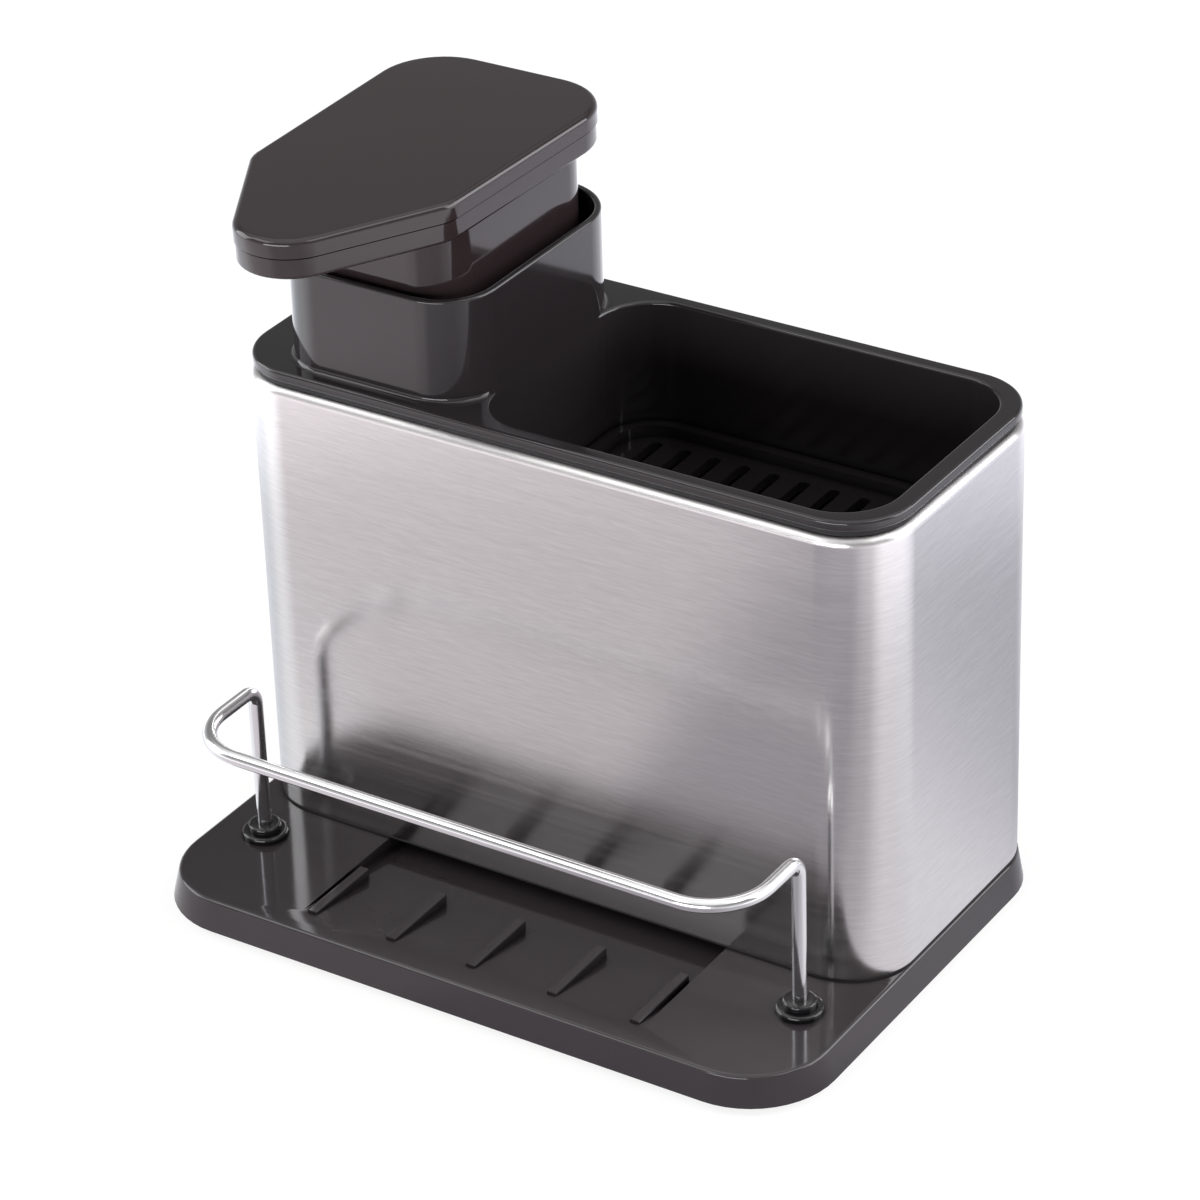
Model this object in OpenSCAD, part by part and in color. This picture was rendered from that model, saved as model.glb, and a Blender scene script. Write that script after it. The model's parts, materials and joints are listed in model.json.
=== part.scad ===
// Soap pump caddy: a sponge basin and a soap tank in a steel sleeve, with a pump turret
// at the left, standing on a drip tray that carries a wire rail.
// Millimetres, +Z up, front towards -Y, origin on the counter under the middle of the tray.

/* [Drip tray] */
// Width of the tray, left to right
tray_w = 182; // [176:1:196]
// Depth of the tray, front to back
tray_d = 128; // [124:1:140]
// Height of the moulded tray above its feet
tray_h = 7.6; // [7.2:0.1:10]
// Corner radius at the front of the tray
tray_front_r = 22; // [18:0.5:26]
// Corner radius at the back of the tray
tray_back_r = 19; // [17:0.5:20]
// Lean of the tray's front and side faces over its height
tray_draft = 1.9; // [1:0.1:2.6]
// Rounding of the tray's top edge
tray_edge_r = 1.1; // [0.5:0.1:1.5]
// Wall of the tray's hollow underside
tray_wall = 2.4; // [1.8:0.1:3]
// Height of the lip that locates the sleeve
sleeve_lip_h = 4; // [2:0.5:8]

/* [Ramp and ribs] */
// Width of the draining ramp
ramp_w = 96; // [80:1:110]
// Flat strip in front of the ramp
ramp_front = 9.6; // [8:0.2:14]
// Fall of the ramp, in millimetres per millimetre
ramp_fall_share = 0.1; // [0.05:0.01:0.1]
// Number of ribs on the ramp
rib_count = 5; // [3:1:5]
// Spacing of the ribs, as a share of the ramp's width
rib_pitch_share = 0.236; // [0.12:0.002:0.24]
// Length of a rib, front to back
rib_len = 21.8; // [15:0.2:26]
// Width of a rib
rib_w = 2.6; // [2:0.1:4]
// Height of the ribs above the tray's flat top
rib_rise = 0.6; // [0:0.1:1.2]

/* [Feet] */
// Diameter of a rubber foot
foot_dia = 12; // [8:0.5:14]
// Height of the feet below the tray
foot_h = 2; // [1:0.1:4]
// Depth of the foot sockets
foot_sink = 1.4; // [0.6:0.1:2]
// Distance of the feet from the sides of the tray
foot_side_in = 15; // [14:0.5:20]
// Distance of the feet from the front and back of the tray
foot_end_in = 14; // [13:0.5:18]

/* [Wire rail] */
// Diameter of the wire
wire_dia = 3.5; // [2.5:0.1:4.5]
// Distance of the legs from the sides of the tray
leg_side_in = 15.3; // [15:0.1:25]
// Height of the wire's centre above the tray
rail_h = 41.4; // [25:0.2:60]
// Distance from the legs forward to the bar
rail_reach = 28.2; // [24:0.2:28.6]
// Distance of the legs from the front of the tray
leg_back = 32.7; // [32:0.1:36]
// Bend radius at the bar's corners
rail_corner_r = 15; // [8:0.5:18]
// Bend radius at the tops of the legs
leg_bend_r = 4; // [3:0.25:5.5]
// Diameter of a grommet's flange
grommet_dia = 11.4; // [9:0.2:12]

/* [Steel sleeve] */
// Distance of the sleeve from the front of the tray
sleeve_front_in = 46.3; // [45.2:0.1:50]
// Height of the sleeve
sleeve_h = 116.5; // [106:0.5:140]
// Corner radius of the sleeve
sleeve_r = 16.8; // [15.5:0.1:18]
// Thickness of the steel
sleeve_t = 0.6; // [0.4:0.1:0.8]
// Radius of the rolled top edge
sleeve_roll_r = 2.2; // [1.5:0.1:2.4]
// Distance from the sleeve out to the tray's top edge at each side
sleeve_side_in = 0.4; // [0.2:0.1:1]
// Distance from the sleeve to the back of the tray
sleeve_back_in = 0.8; // [0.4:0.1:1]

/* [Liner] */
// Thickness of the liner's rim
rim_t = 2.8; // [2.2:0.1:4]
// Shadow gap between the sleeve and the rim
rim_gap = 1.5; // [1:0.1:2.5]
// Width of the ledge in front of and behind the basin
ledge_w = 4.6; // [4.6:0.1:6]
// Width of the ledge at the right of the basin
ledge_side_w = 5.5; // [4.6:0.1:9]
// Corner radius of the basin
basin_r = 14; // [10:0.5:18]
// Rounding of the basin's top edge
basin_edge_r = 0.9; // [0.6:0.1:1.8]
// Depth of the basin down to its grille
basin_depth = 34.5; // [24:0.5:38]
// Depth of the sump under the grille
sump_depth = 6.5; // [5:0.5:10]
// Wall of the liner's moulding
liner_wall = 1.8; // [1.5:0.1:2.1]

/* [Turret] */
// Width of the turret
turret_w = 55.2; // [51:0.2:60]
// Height of the turret above the rim
turret_h = 26; // [20:0.5:34]
// Distance from the sleeve's left face to the turret
turret_side_in = 11.2; // [8:0.2:14]
// Corner radius at the front of the turret
turret_front_r = 14; // [10:0.5:18]
// Corner radius at the back of the turret
turret_back_r = 17; // [12:0.5:20]
// Fillet between the turret and the rim
turret_fillet_r = 1.2; // [0.5:0.1:2]

/* [Soap tank] */
// Wall of the tank
tank_wall = 2; // [1.5:0.1:3]
// Bore of the tank's drain pipe
drain_bore = 13; // [11:0.5:18]

/* [Grille] */
// Thickness of the drain grille
grille_t = 2.4; // [1.8:0.1:3]
// Height of the grille's raised frame
grille_frame_h = 2.8; // [1:0.1:5]
// Width of a slot in the grille
grille_slot_w = 3; // [2:0.25:4.5]
// Number of slots across the grille
grille_slots = 11; // [5:1:13]

/* [Pump head] */
// Half width of the head at the back
head_back_half = 28.9; // [27:0.1:31]
// Half width of the head at its shoulders
head_shoulder_half = 28; // [25:0.2:30]
// Corner radius at the back of the head
head_back_r = 16.4; // [12:0.2:20]
// Corner radius of the shoulders
head_shoulder_r = 10; // [6:0.5:14]
// Radius of the nose
head_nose_r = 13.3; // [11:0.1:16]
// Length of the head, front to back
head_len = 107.2; // [98:0.1:110]
// Distance from the nose back to the shoulders
head_taper_len = 38.7; // [32:0.1:46]
// Height of the head's lower shell
shell_h = 5.4; // [5.2:0.1:8]
// Height of the head's cover
cover_h = 4.4; // [4.2:0.1:7]
// Rounding of the cover's top edge
cover_edge_r = 1.5; // [0.6:0.1:2]
// Wall of the head's mouldings
head_wall = 1.8; // [1.4:0.1:1.9]
// Height of the plunger between the turret and the head
plunger_show = 18.2; // [17.5:0.1:26]
// Gap between the plunger and the turret at each side
plunger_gap = 4.4; // [2.5:0.1:6]

/* [Pump] */
// Stroke of the pump
stroke = 14; // [8:0.5:14]
// Bore of the pump cylinder
pump_bore = 14; // [12.5:0.5:16]
// Diameter of the stem
stem_dia = 7; // [6.5:0.25:8]
// Diameter of the dip tube
dip_dia = 8; // [7.5:0.25:9]

/* [Hidden] */

$fn = 72;
hull_fn = 48;
over = 1;
root = 0.6;
sliver = 0.01;
seat_gap = 0.3;
run_gap = 0.05;
gasket_t = 0.8;

// Levels, from the counter up
tray_z0 = foot_h;
tray_z1 = tray_z0 + tray_h;
seal_t = 0.6;
sleeve_z0 = tray_z1 + seal_t;
sleeve_z1 = sleeve_z0 + sleeve_h;
rim_z0 = sleeve_z1 + rim_gap;
rim_z1 = rim_z0 + rim_t;
turret_z1 = rim_z1 + turret_h;
shell_z0 = turret_z1 + plunger_show;
shell_z1 = shell_z0 + shell_h;
cover_z1 = shell_z1 + cover_h;

// Plan boxes: left, right, front, back, front corner radius, back corner radius
function grow(b, d) = [b[0] - d, b[1] + d, b[2] - d, b[3] + d, b[4] + d, b[5] + d];
sleeve_x = tray_w / 2 - tray_draft - sleeve_side_in;
sleeve_y1 = tray_d / 2 - sleeve_back_in;
sleeve_y0 = sleeve_front_in - tray_d / 2;
sleeve_box = [-sleeve_x, sleeve_x, sleeve_y0, sleeve_y1, sleeve_r, sleeve_r];
roll_flat = 0.25;
rim_in = 0.5;
rim_box = grow(sleeve_box, -rim_in);
rim_edge_r = 0.9;
rim_band_w = 6;
well_in = sleeve_roll_r + roll_flat + seat_gap;
well_box = grow(sleeve_box, -well_in);
turret_x0 = -sleeve_x + turret_side_in;
turret_x1 = turret_x0 + turret_w;
turret_y0 = sleeve_y0 + ledge_w;
turret_y1 = sleeve_y1 - ledge_w;
turret_box = [turret_x0, turret_x1, turret_y0, turret_y1, turret_front_r, turret_back_r];
basin_box = [turret_x1, sleeve_x - ledge_side_w, turret_y0, turret_y1, basin_r, basin_r];
turret_lip_r = 0.7;
well_step = 0.4;

// Levels inside the liner
grille_z1 = rim_z1 - basin_depth;
grille_z0 = grille_z1 - grille_t;
sump_z = grille_z0 - sump_depth;
grille_seat_w = 2.2;
grille_gap = 0.4;
grille_frame_w = 3;
grille_border = 7;
well_z0 = sump_z - 2 * liner_wall;
turret_skirt = 13;
turret_z0 = rim_z0 - turret_skirt;
plate_seat_t = 2.5;
plate_seat_z = turret_z0 + plate_seat_t;
plate_seat_w = 2.6;
drain_x = (basin_box[0] + basin_box[1]) / 2;
drain_y = (basin_box[2] + basin_box[3]) / 2;

// Tank
tank_z0 = tray_z1 + seat_gap;
tank_z1 = well_z0 - gasket_t;
pipe_top_gap = 1;
spigot_wall = 1.5;
seal_room = 1.5;
spigot_dia = drain_bore - 2 * seal_room;
spigot_bore = spigot_dia - 2 * spigot_wall;
spigot_len = 9;
drain_seal_z = sump_z - liner_wall - spigot_len / 2;

// Pump axis and levels
pump_x = (turret_x0 + turret_x1) / 2;
pump_y = (turret_y0 + turret_y1) / 2;
plate_gap = 0.3;
plate_t = 3;
plate_lip_h = 1.6;
plate_z0 = plate_seat_z + seat_gap + gasket_t;
plate_z1 = plate_z0 + plate_t;
cyl_wall = 2;
cyl_dia = pump_bore + 2 * cyl_wall;
cyl_flange_w = 3;
cyl_flange_dia = cyl_dia + 2 * cyl_flange_w;
cyl_flange_t = 2;
cyl_z1 = plate_z1 + cyl_flange_t;
cyl_nut_h = 5;
cyl_nut_dia = cyl_flange_dia + 2 * cyl_wall;
guide_t = 4;
guide_skirt = 5.4;
guide_edge = 1;
guide_z0 = cyl_z1 - guide_skirt;
guide_z1 = cyl_z1 + guide_t;
piston_h = 6;
shoulder_h = 1;
shoulder_w = 1.6;
piston_z1 = guide_z0 - seat_gap - shoulder_h;
piston_z0 = piston_z1 - piston_h;
spring_solid = 11.6;
spring_len = stroke + spring_solid;
spring_wire = 1.6;
spring_gap = 0.3;
seat_t = 1.2;
spring_z0 = piston_z0 - spring_len;
ball_dia = 5;
ball_gap = 0.1;
inlet_bore = 3.6;
chamber_dia = 9;
chamber_h = 6;
chamber_z0 = spring_z0 - seat_t - chamber_h;
cyl_z0 = chamber_z0 - cyl_wall;
tube_wall = 1;
inlet_dia = dip_dia - 2 * tube_wall;
inlet_len = 12;
dip_lift = 4;
floor_z = tank_z0 + tank_wall;
dip_z0 = floor_z + dip_lift;
strainer_t = 1.2;
strainer_h = 6;
strainer_w = 2;
stem_bore = 3.4;

// Pump head
plunger_low_gap = 0.6;
plunger_z0 = plate_z1 + plate_lip_h + plunger_low_gap + stroke;
plunger_end_gap = 1.4;
plunger_front_r = 11;
plunger_back_r = 13;
plunger_box = [
    turret_x0 + liner_wall + plunger_gap, turret_x1 - liner_wall - plunger_gap,
    turret_y0 + liner_wall + plunger_end_gap, turret_y1 - liner_wall - plunger_end_gap,
    plunger_front_r, plunger_back_r];
roof_t = 2.5;
roof_z0 = shell_z0 - roof_t;
socket_wall = 3;
socket_dia = stem_dia + 2 * socket_wall;
socket_gap = 3.2;
socket_z0 = guide_z1 + stroke + socket_gap;
stem_stop = 1.5;
stem_z1 = roof_z0 - stem_stop;
web_t = 1.4;
web_h = 12;
head_set = 2.6;
head_y1 = turret_y1 - head_set;
head_y0 = head_y1 - head_len;
shell_in = 0.35;
shell_edge_r = 1;
groove_h = 0.4;
groove_in = 1;
neck_w = 1.6;
spout_dia = 5;
spout_bore = 2.8;
spout_bend_r = 3;
spout_rise = 0.1;
spout_z = shell_z0 + head_wall + spout_rise + spout_bend_r;
spout_y = head_y0 + head_nose_r;
nozzle_dia = 8.4;
nozzle_drop = 3.4;
nozzle_flange = 1.6;
nozzle_flange_t = 1;

// Tray details
edge_share = 0.25;
ramp_y0 = ramp_front - tray_d / 2;
rib_edge_r = 0.4;
channel_front_in = 8;
channel_back_in = 14;
sump_y = sleeve_y0 + channel_front_in;
channel_z = tray_z1 - ramp_fall_share * (sump_y - ramp_y0);
channel_y1 = sleeve_y1 - channel_back_in;
lip_gap = 0.3;
lip_w = 1.3;
pocket_z = tray_z1 - tray_wall;
grommet_h = 3.4;
grommet_step_h = 1.6;
grommet_step_w = 1.6;
grommet_edge_r = 0.7;
neck_w_wire = 1.6;
grommet_bore = wire_dia + 2 * run_gap;
neck_dia = wire_dia + 2 * neck_w_wire;
boss_rise = 2;
boss_z0 = tray_z0 + boss_rise;
boss_w = 0.8;
boss_dia = grommet_dia + 2 * boss_w;
foot_wall = 1.6;
foot_edge = 0.6;
leg_x = tray_w / 2 - leg_side_in;
leg_y = leg_back - tray_d / 2;
rail_z = tray_z1 + rail_h;
bar_y = leg_y - rail_reach;
nut_t = 0.8;
nut_w = 3;
leg_rise = 0.4;
leg_z0 = tray_z0 + leg_rise;

BLACK = [0.21, 0.19, 0.2];
DARK = [0.1, 0.1, 0.1];
STEEL = [0.76, 0.75, 0.74];
CHROME = [0.86, 0.86, 0.88];
WHITE = [0.9, 0.9, 0.88];

// Points on part of a circle, for the rounded corner of a profile
function turn(cx, cz, r, a0, a1, n = 6) =
    [for (i = [0:n]) let (a = a0 + (a1 - a0) * i / n) [cx + r * cos(a), cz + r * sin(a)]];

// Solid with rounded corners on a plan box
module prism(b, z0, z1) {
    h = z1 - z0;
    half = (b[3] - b[2]) / 2;
    translate([b[0], b[2] + b[4], z0]) cube([b[1] - b[0], b[3] - b[5] - b[2] - b[4], h]);
    translate([b[0] + b[4], b[2], z0]) cube([b[1] - b[0] - 2 * b[4], half, h]);
    translate([b[0] + b[5], b[2] + half, z0]) cube([b[1] - b[0] - 2 * b[5], half, h]);
    for (x = [b[0] + b[4], b[1] - b[4]]) translate([x, b[2] + b[4], z0]) cylinder(r = b[4], h = h);
    for (x = [b[0] + b[5], b[1] - b[5]]) translate([x, b[3] - b[5], z0]) cylinder(r = b[5], h = h);
}

// A quarter of a turned profile; points are [distance in from the box, height]
module corner(x, y, r, a, pts)
    translate([x, y, 0]) rotate([0, 0, a]) rotate_extrude(angle = 90)
        polygon([for (p = pts) [r - p[0], p[1]]]);

// Closed band that carries one profile round a plan box
module band(b, pts) {
    corner(b[0] + b[4], b[2] + b[4], b[4], 180, pts);
    corner(b[1] - b[4], b[2] + b[4], b[4], 270, pts);
    corner(b[1] - b[5], b[3] - b[5], b[5], 0, pts);
    corner(b[0] + b[5], b[3] - b[5], b[5], 90, pts);
    translate([0, b[3] - b[5], 0]) rotate([90, 0, 0])
        linear_extrude(height = b[3] - b[5] - b[2] - b[4]) {
            polygon([for (p = pts) [b[1] - p[0], p[1]]]);
            polygon([for (p = pts) [b[0] + p[0], p[1]]]);
        }
    translate([b[0] + b[4], 0, 0]) rotate([90, 0, 90])
        linear_extrude(height = b[1] - b[0] - 2 * b[4])
            polygon([for (p = pts) [b[2] + p[0], p[1]]]);
    translate([b[0] + b[5], 0, 0]) rotate([90, 0, 90])
        linear_extrude(height = b[1] - b[0] - 2 * b[5])
            polygon([for (p = pts) [b[3] - p[0], p[1]]]);
}

// Straight wall of thickness t inside a plan box
module wall(b, t, z0, z1)
    difference() {
        prism(b, z0, z1);
        prism(grow(b, -t), z0 - over, z1 + over);
    }

// A turned piece on the pump's axis; points are [radius, height]
module turned(pts) translate([pump_x, pump_y, 0]) rotate_extrude() polygon(pts);

// A straight tube section of a turned piece
function tube(d, bore, z0, z1) = [[bore / 2, z0], [d / 2, z0], [d / 2, z1], [bore / 2, z1]];

// Tray
module tray_slice(z, side_in, back_in)
    for (x = [-1, 1]) {
        translate([x * (tray_w / 2 - tray_front_r), tray_front_r - tray_d / 2, z])
            cylinder(r = tray_front_r - side_in, h = sliver, $fn = hull_fn);
        translate([x * (tray_w / 2 - tray_back_r), tray_d / 2 - tray_back_r, z])
            scale([1 - side_in / tray_back_r, 1 - back_in / tray_back_r, 1])
                cylinder(r = tray_back_r, h = sliver, $fn = hull_fn);
    }

module tray_form()
    hull() {
        tray_slice(tray_z0, 0, 0);
        for (a = [0:22.5:90])
            tray_slice(tray_z1 - sliver - tray_edge_r * (1 - sin(a)),
                tray_draft + tray_edge_r * (1 - edge_share - cos(a)), tray_edge_r * (1 - cos(a)));
    }

module leg_places() for (x = [-leg_x, leg_x]) translate([x, leg_y, 0]) children();

module foot_at(x, y)
    translate([x * (tray_w / 2 - foot_side_in), y * (tray_d / 2 - foot_end_in), 0]) children();

module tray_pockets()
    difference() {
        intersection() {
            prism(grow([-tray_w / 2, tray_w / 2, -tray_d / 2, tray_d / 2, tray_front_r, tray_back_r],
                -tray_draft - tray_wall), tray_z0 - over, pocket_z);
            for (x = [-1, 1])
                translate([x * (tray_w + ramp_w + 2 * tray_wall) / 4, 0, pocket_z / 2])
                    cube([(tray_w - ramp_w - 2 * tray_wall) / 2, tray_d, 2 * pocket_z], center = true);
        }
        leg_places() cylinder(d = boss_dia, h = tray_z1);
        for (x = [-1, 1]) for (y = [-1, 1])
            foot_at(x, y) cylinder(d = foot_dia + 2 * foot_wall, h = tray_z1);
    }

module rib(x) {
    e = rib_edge_r;
    half = rib_w / 2;
    low = -ramp_fall_share * rib_len - root;
    translate([x, ramp_y0, tray_z1]) rotate([90, 0, 180]) linear_extrude(height = rib_len)
        polygon(concat([[-half, low], [half, low]],
            turn(half - e, rib_rise - e, e, 0, 90), turn(e - half, rib_rise - e, e, 90, 180)));
}

module base_tray()
    color(BLACK) difference() {
        union() {
            difference() {
                tray_form();
                translate([-ramp_w / 2, 0, 0]) rotate([90, 0, 90]) linear_extrude(height = ramp_w)
                    polygon([[ramp_y0, tray_z1], [sump_y, channel_z], [channel_y1, channel_z],
                        [channel_y1, tray_z1 + over], [ramp_y0, tray_z1 + over]]);
            }
            for (i = [0:rib_count - 1]) rib((i - (rib_count - 1) / 2) * rib_pitch_share * ramp_w);
            difference() {
                wall(grow(sleeve_box, -sleeve_t - lip_gap), lip_w,
                    tray_z1 - root, tray_z1 + sleeve_lip_h);
                translate([-ramp_w / 2, sleeve_y0 - over, tray_z0])
                    cube([ramp_w, channel_front_in, tray_h + sleeve_lip_h + over]);
            }
        }
        tray_pockets();
        leg_places() {
            cylinder(d = neck_dia + 2 * run_gap, h = tray_z1 + over);
            cylinder(d = boss_dia + 2 * seat_gap, h = boss_z0);
        }
        for (x = [-1, 1]) for (y = [-1, 1])
            foot_at(x, y) cylinder(d = foot_dia + 2 * run_gap, h = tray_z0 + foot_sink);
    }

module foot(x, y)
    color(DARK) foot_at(x, y) rotate_extrude()
        polygon([[0, 0], [foot_dia / 2 - foot_edge, 0], [foot_dia / 2, foot_edge],
            [foot_dia / 2, tray_z0 + foot_sink], [0, tray_z0 + foot_sink]]);

module foot_front_left() foot(-1, -1);
module foot_front_right() foot(1, -1);
module foot_back_left() foot(-1, 1);
module foot_back_right() foot(1, 1);

// Rail, its grommets and the nuts that hold it
module half_rail(s)
    mirror([s, 0, 0]) {
        translate([leg_x, leg_y, leg_z0]) cylinder(d = wire_dia, h = rail_z - leg_bend_r - leg_z0);
        translate([leg_x, leg_y - leg_bend_r, rail_z - leg_bend_r]) rotate([90, 0, 90])
            rotate_extrude(angle = 90) translate([leg_bend_r, 0]) circle(d = wire_dia);
        translate([leg_x, leg_y - leg_bend_r, rail_z]) rotate([90, 0, 0])
            cylinder(d = wire_dia, h = rail_reach - leg_bend_r - rail_corner_r);
        translate([leg_x - rail_corner_r, bar_y + rail_corner_r, rail_z]) rotate([0, 0, 270])
            rotate_extrude(angle = 90) translate([rail_corner_r, 0]) circle(d = wire_dia);
    }

module rail()
    color(CHROME) union() {
        half_rail(0);
        half_rail(1);
        translate([rail_corner_r - leg_x, bar_y, rail_z]) rotate([0, 90, 0])
            cylinder(d = wire_dia, h = 2 * (leg_x - rail_corner_r));
    }

module grommet(s) {
    r0 = grommet_dia / 2;
    r1 = r0 - grommet_step_w;
    z0 = tray_z1 + grommet_step_h;
    z1 = tray_z1 + grommet_h;
    color(DARK) translate([s * leg_x, leg_y, 0]) rotate_extrude()
        polygon(concat([[grommet_bore / 2, boss_z0], [neck_dia / 2, boss_z0],
            [neck_dia / 2, tray_z1], [r0, tray_z1]],
            turn(r0 - grommet_edge_r, z0 - grommet_edge_r, grommet_edge_r, 0, 90),
            [[r1, z0]], turn(r1 - grommet_edge_r, z1 - grommet_edge_r, grommet_edge_r, 0, 90),
            [[grommet_bore / 2, z1]]));
}

module grommet_left() grommet(-1);
module grommet_right() grommet(1);

module push_nut(s)
    color(STEEL) translate([s * leg_x, leg_y, boss_z0 - nut_t]) difference() {
        cylinder(d = wire_dia + 2 * nut_w, h = nut_t);
        translate([0, 0, -over]) cylinder(d = grommet_bore, h = nut_t + 2 * over);
    }

module push_nut_left() push_nut(-1);
module push_nut_right() push_nut(1);

// Sleeve and the seal under it
module sleeve()
    color(STEEL) band(sleeve_box, concat([[sleeve_t, sleeve_z0], [0, sleeve_z0]],
        turn(sleeve_roll_r, sleeve_z1 - sleeve_roll_r, sleeve_roll_r, 180, 90, 8),
        [[sleeve_roll_r + roll_flat, sleeve_z1], [sleeve_roll_r + roll_flat, sleeve_z1 - sleeve_t]],
        turn(sleeve_roll_r, sleeve_z1 - sleeve_roll_r, sleeve_roll_r - sleeve_t, 90, 180, 8)));

module sleeve_seal()
    color(DARK) wall(grow(sleeve_box, -run_gap), sleeve_t + run_gap, tray_z1, sleeve_z0);

// Liner
module rim_form() {
    band(rim_box, concat([[rim_band_w, rim_z0]],
        turn(rim_edge_r, rim_z0 + rim_edge_r, rim_edge_r, 270, 180),
        turn(rim_edge_r, rim_z1 - rim_edge_r, rim_edge_r, 180, 90), [[rim_band_w, rim_z1]]));
    prism(grow(rim_box, -rim_band_w / 2), rim_z0, rim_z1);
}

module basin_cuts() {
    e = basin_edge_r;
    prism(basin_box, grille_z0 - seat_gap, turret_z1);
    prism(grow(basin_box, -grille_seat_w), sump_z, turret_z1);
    band(grow(basin_box, e), concat(turn(0, rim_z1 - e, e, 90, 0),
        [[e + root, rim_z1 - e], [e + root, turret_z1], [0, turret_z1]]));
}

// Wall of the turret, with the ledge for the pump plate at its foot
module turret_wall() {
    r = turret_lip_r;
    band(turret_box, concat([[liner_wall + plate_seat_w, turret_z0], [0, turret_z0]],
        turn(r, turret_z1 - r, r, 180, 90), turn(liner_wall - r, turret_z1 - r, r, 90, 0),
        [[liner_wall, plate_seat_z], [liner_wall + plate_seat_w, plate_seat_z]]));
}

// Fillet round the turret's foot
module turret_foot() {
    f = turret_fillet_r;
    band(grow(turret_box, f), concat(turn(0, rim_z1 + f, f, 270, 360),
        [[f + root, rim_z1 + f], [f + root, rim_z1 - root], [0, rim_z1 - root]]));
}

// Hollow under the turret, which is the upper part of the soap tank
module well_hollow() {
    b = grow(well_box, -liner_wall - well_step);
    prism([b[0], turret_x1 - liner_wall, b[2], b[3], b[4], b[5]], well_z0, rim_z0);
    prism(grow(well_box, -liner_wall), well_z0 - over, sump_z - liner_wall);
}

module liner()
    color(BLACK) difference() {
        union() {
            difference() {
                union() {
                    rim_form();
                    prism(well_box, well_z0, rim_z0 + root);
                    turret_foot();
                }
                basin_cuts();
                well_hollow();
                prism(grow(turret_box, -liner_wall / 2), rim_z0 - over, turret_z1);
            }
            turret_wall();
            translate([drain_x, drain_y, sump_z - liner_wall - spigot_len])
                cylinder(d = spigot_dia, h = spigot_len + root);
        }
        translate([drain_x, drain_y, sump_z - liner_wall - spigot_len - over])
            cylinder(d = spigot_bore, h = spigot_len + liner_wall + 2 * over);
    }

module rim_seal()
    color(DARK) wall(grow(rim_box, -rim_edge_r), well_in - rim_in - rim_edge_r - run_gap,
        sleeve_z1 + seat_gap, rim_z0);

// Tank
module soap_tank()
    color(WHITE) difference() {
        union() {
            difference() {
                prism(well_box, tank_z0, tank_z1);
                prism(grow(well_box, -tank_wall), floor_z, tank_z1 + over);
            }
            translate([drain_x, drain_y, tank_z0])
                cylinder(d = drain_bore + 2 * tank_wall, h = tank_z1 - pipe_top_gap - tank_z0);
        }
        translate([drain_x, drain_y, tank_z0 - over])
            cylinder(d = drain_bore, h = tank_z1 - tank_z0 + 2 * over);
    }

module tank_gasket() color(DARK) wall(well_box, liner_wall, tank_z1, well_z0);

module drain_seal()
    color(DARK) translate([drain_x, drain_y, drain_seal_z]) rotate_extrude()
        translate([(spigot_dia + seal_room) / 2, 0]) circle(d = seal_room - 2 * run_gap);

// Grille
module drain_grille() {
    b = grow(basin_box, -grille_gap);
    w = b[1] - b[0] - 2 * grille_border;
    d = b[3] - b[2] - 2 * grille_border;
    pitch = w / grille_slots;
    color(BLACK) difference() {
        prism(b, grille_z0, grille_z1 + grille_frame_h);
        prism(grow(b, -grille_frame_w), grille_z1, grille_z1 + grille_frame_h + over);
        for (i = [0:grille_slots - 1])
            translate([b[0] + grille_border + (i + 0.5) * pitch, drain_y, grille_z0 - over]) {
                translate([-grille_slot_w / 2, (grille_slot_w - d) / 2, 0])
                    cube([grille_slot_w, d - grille_slot_w, grille_t + 2 * over]);
                for (y = [-1, 1]) translate([0, y * (d - grille_slot_w) / 2, 0])
                    cylinder(d = grille_slot_w, h = grille_t + 2 * over);
            }
    }
}

// Pump, held in the turret
module pump_plate() {
    b = grow(turret_box, -liner_wall - plate_gap);
    color(WHITE) difference() {
        prism(b, plate_z0, plate_z1 + plate_lip_h);
        prism(grow(b, -liner_wall), plate_z1, plate_z1 + plate_lip_h + over);
        translate([pump_x, pump_y, plate_z0 - over])
            cylinder(d = cyl_dia + 2 * run_gap, h = plate_t + 2 * over);
    }
}

module plate_gasket()
    color(DARK) wall(grow(turret_box, -liner_wall - plate_gap), plate_seat_w - plate_gap,
        plate_z0 - gasket_t, plate_z0);

module pump_cylinder()
    color(WHITE) turned([
        [inlet_bore / 2, cyl_z0 - inlet_len], [inlet_dia / 2, cyl_z0 - inlet_len],
        [inlet_dia / 2, cyl_z0], [cyl_dia / 2 - cyl_wall, cyl_z0], [cyl_dia / 2, cyl_z0 + cyl_wall],
        [cyl_dia / 2, plate_z1], [cyl_flange_dia / 2, plate_z1], [cyl_flange_dia / 2, cyl_z1],
        [pump_bore / 2, cyl_z1], [pump_bore / 2, spring_z0 - seat_t],
        [chamber_dia / 2, spring_z0 - seat_t], [chamber_dia / 2, chamber_z0],
        [inlet_bore / 2, chamber_z0]]);

module cylinder_nut()
    color(WHITE) translate([pump_x, pump_y, plate_z0 - cyl_nut_h]) difference() {
        cylinder(d = cyl_nut_dia, h = cyl_nut_h, $fn = 6);
        translate([0, 0, -over]) cylinder(d = cyl_dia + 2 * run_gap, h = cyl_nut_h + 2 * over);
    }

module stem_guide()
    color(WHITE) turned([
        [stem_dia / 2 + run_gap, guide_z0], [pump_bore / 2 - run_gap, guide_z0],
        [pump_bore / 2 - run_gap, cyl_z1], [cyl_flange_dia / 2, cyl_z1],
        [cyl_flange_dia / 2, guide_z1 - guide_edge], [cyl_flange_dia / 2 - guide_edge, guide_z1],
        [stem_dia / 2 + run_gap, guide_z1]]);

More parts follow.
